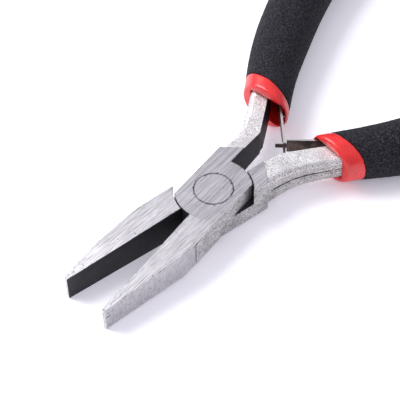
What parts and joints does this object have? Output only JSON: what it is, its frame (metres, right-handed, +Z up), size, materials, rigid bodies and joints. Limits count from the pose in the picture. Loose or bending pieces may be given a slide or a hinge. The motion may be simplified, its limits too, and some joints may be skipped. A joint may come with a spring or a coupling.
{
  "type": "flat nose pliers",
  "caption": "Small spring-opened flat nose pliers with a riveted lap joint, forged steel levers, double leaf spring and foam grips over dipped sleeves with red collars.",
  "frame": {"origin": "on the pivot axis, at the flat ground underside of the joint, at the centre of the rivet's lower face", "axes": "+X along the nose, from the pivot towards the jaw tips, bisecting the open levers; +Z up along the pivot axis, out of the top of the joint; +Y towards the upper lever's jaw"},
  "size_m": [0.1227, 0.0804, 0.0132],
  "materials": {
    "lever_steel": "drop-forged carbon steel, ground bright on the jaws and joint, rough on the shanks, black on the inner faces",
    "rivet_steel": "peened and ground flush",
    "spring_steel": "blued spring steel with bright sheared edges",
    "sleeve_vinyl": "glossy dipped red vinyl",
    "grip_foam": "matt black closed-cell foam"
  },
  "bodies": {
    "lower_lever_body": {"lower_lever": "lever_steel", "lower_sleeve": "sleeve_vinyl", "lower_foam_grip": "grip_foam", "lower_leaf_root": "spring_steel", "lower_spring_rivet": "rivet_steel"},
    "upper_lever_body": {"upper_lever": "lever_steel", "pivot_rivet": "rivet_steel", "upper_sleeve": "sleeve_vinyl", "upper_foam_grip": "grip_foam", "upper_leaf_root": "spring_steel", "upper_spring_rivet": "rivet_steel"},
    "slotted_leaf": {"slotted_leaf_blade": "spring_steel"},
    "tongue_leaf": {"tongue_leaf_blade": "spring_steel"}
  },
  "joints": [
    {"name": "pivot", "type": "hinge", "parent": "lower_lever_body", "child": "upper_lever_body", "pos_m": [0, 0, 0], "axis": [0, 0, 1], "range_deg": [-16, 0], "stiffness_Nm_per_rad": 1.5},
    {"name": "slotted_leaf_flex", "type": "hinge", "parent": "upper_lever_body", "child": "slotted_leaf", "pos_m": [-0.03436, -0.01507, 0.004], "axis": [0, 0, 1], "range_deg": [-10.4, 0]},
    {"name": "tongue_leaf_flex", "type": "hinge", "parent": "lower_lever_body", "child": "tongue_leaf", "pos_m": [-0.03436, 0.01507, 0.004], "axis": [0, 0, 1], "range_deg": [0, 10.4]}
  ],
  "couplings": [
    {"joint": "slotted_leaf_flex", "follows": "pivot", "ratio": 0.65},
    {"joint": "tongue_leaf_flex", "follows": "pivot", "ratio": -0.65}
  ]
}
